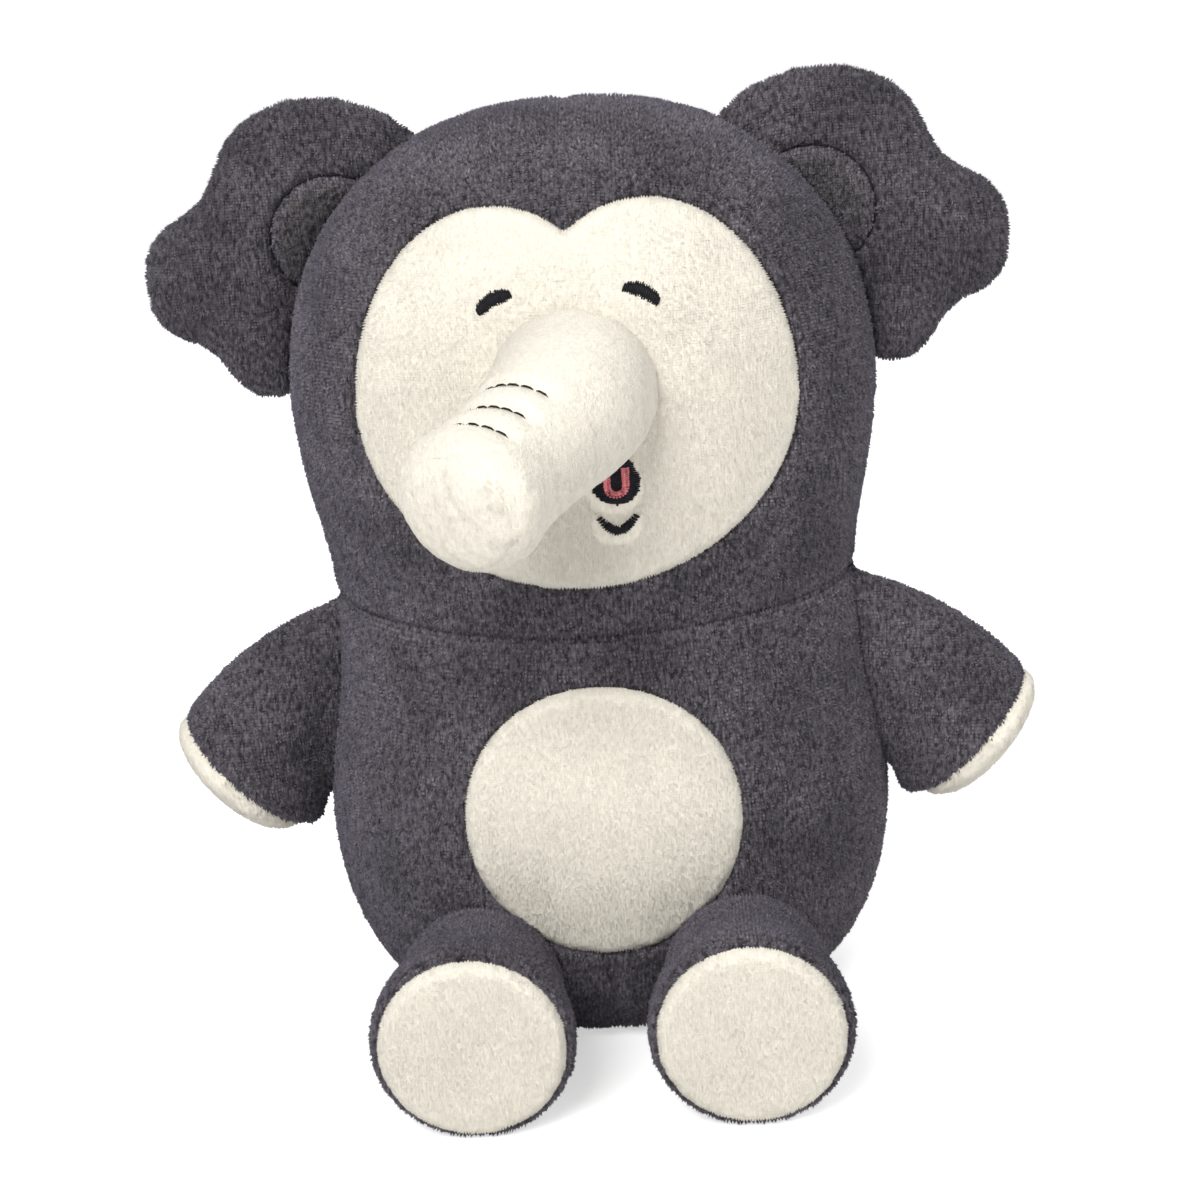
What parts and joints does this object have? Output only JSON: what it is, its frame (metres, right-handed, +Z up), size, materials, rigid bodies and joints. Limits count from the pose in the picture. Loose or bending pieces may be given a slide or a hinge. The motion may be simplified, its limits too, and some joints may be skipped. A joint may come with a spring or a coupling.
{
  "type": "stuffed elephant",
  "caption": "Seated stuffed elephant in short-pile plush, with sewn-on trunk, lobed ears, arms and legs that flex, and embroidered face.",
  "frame": {"origin": "centre of the flat seat that the elephant sits on", "axes": "+Z up, the elephant faces -Y, its own left side is +X"},
  "size_m": [0.192, 0.1522, 0.2036],
  "materials": {
    "grey_plush": "matte",
    "ear_lining_plush": "matte",
    "cream_plush": "matte",
    "black_thread": "satin",
    "pink_thread": "satin",
    "grey_thread": "satin",
    "polyester_filling": "matte"
  },
  "bodies": {
    "torso": {"head_left_panel": "grey_plush", "head_right_panel": "grey_plush", "face_patch": "cream_plush", "body_front_panel": "grey_plush", "body_back_left_panel": "grey_plush", "body_back_right_panel": "grey_plush", "belly_patch": "cream_plush", "left_eye": "black_thread", "right_eye": "black_thread", "mouth": "black_thread", "tongue": "pink_thread", "smile_line": "black_thread", "closing_stitches": "grey_thread", "torso_filling": "polyester_filling"},
    "trunk": {"trunk_cover": "cream_plush", "trunk_tip_disc": "cream_plush", "trunk_stitches": "black_thread", "trunk_filling": "polyester_filling"},
    "left_ear": {"left_ear_front_panel": "grey_plush", "left_ear_back_panel": "grey_plush", "left_ear_inner_patch": "ear_lining_plush", "left_ear_stitching": "black_thread", "left_ear_filling": "polyester_filling"},
    "right_ear": {"right_ear_front_panel": "grey_plush", "right_ear_back_panel": "grey_plush", "right_ear_inner_patch": "ear_lining_plush", "right_ear_stitching": "black_thread", "right_ear_filling": "polyester_filling"},
    "left_arm": {"left_arm_front_panel": "grey_plush", "left_arm_back_panel": "grey_plush", "left_hand_pad": "cream_plush", "left_arm_filling": "polyester_filling"},
    "right_arm": {"right_arm_front_panel": "grey_plush", "right_arm_back_panel": "grey_plush", "right_hand_pad": "cream_plush", "right_arm_filling": "polyester_filling"},
    "left_leg": {"left_leg_cover": "grey_plush", "left_sole_pad": "cream_plush", "left_leg_filling": "polyester_filling"},
    "right_leg": {"right_leg_cover": "grey_plush", "right_sole_pad": "cream_plush", "right_leg_filling": "polyester_filling"}
  },
  "joints": [
    {"name": "trunk_swing", "type": "hinge", "parent": "torso", "child": "trunk", "pos_m": [0, -0.05753, 0.147], "axis": [0, 0, 1], "range_deg": [-15, 65], "stiffness_Nm_per_rad": 0.05},
    {"name": "left_ear_flap", "type": "hinge", "parent": "torso", "child": "left_ear", "pos_m": [0.05716, 0.002, 0.16769], "axis": [-0.4719, 0, 0.8817], "range_deg": [-40, 40], "stiffness_Nm_per_rad": 0.03},
    {"name": "right_ear_flap", "type": "hinge", "parent": "torso", "child": "right_ear", "pos_m": [-0.05716, 0.002, 0.16769], "axis": [-0.4719, 0, -0.8817], "range_deg": [-40, 40], "stiffness_Nm_per_rad": 0.03},
    {"name": "left_arm_swing", "type": "hinge", "parent": "torso", "child": "left_arm", "pos_m": [0.06452, -0.005, 0.048], "axis": [-0.1249, 0, 0.9922], "range_deg": [-40, 35], "stiffness_Nm_per_rad": 0.05},
    {"name": "right_arm_swing", "type": "hinge", "parent": "torso", "child": "right_arm", "pos_m": [-0.06452, -0.005, 0.048], "axis": [-0.1249, 0, -0.9922], "range_deg": [-40, 35], "stiffness_Nm_per_rad": 0.05},
    {"name": "left_leg_swing", "type": "hinge", "parent": "torso", "child": "left_leg", "pos_m": [0.028, -0.05115, 0.0207], "axis": [1, 0, 0], "range_deg": [-25, 50], "stiffness_Nm_per_rad": 0.08},
    {"name": "right_leg_swing", "type": "hinge", "parent": "torso", "child": "right_leg", "pos_m": [-0.028, -0.05115, 0.0207], "axis": [1, 0, 0], "range_deg": [-25, 50], "stiffness_Nm_per_rad": 0.08}
  ]
}
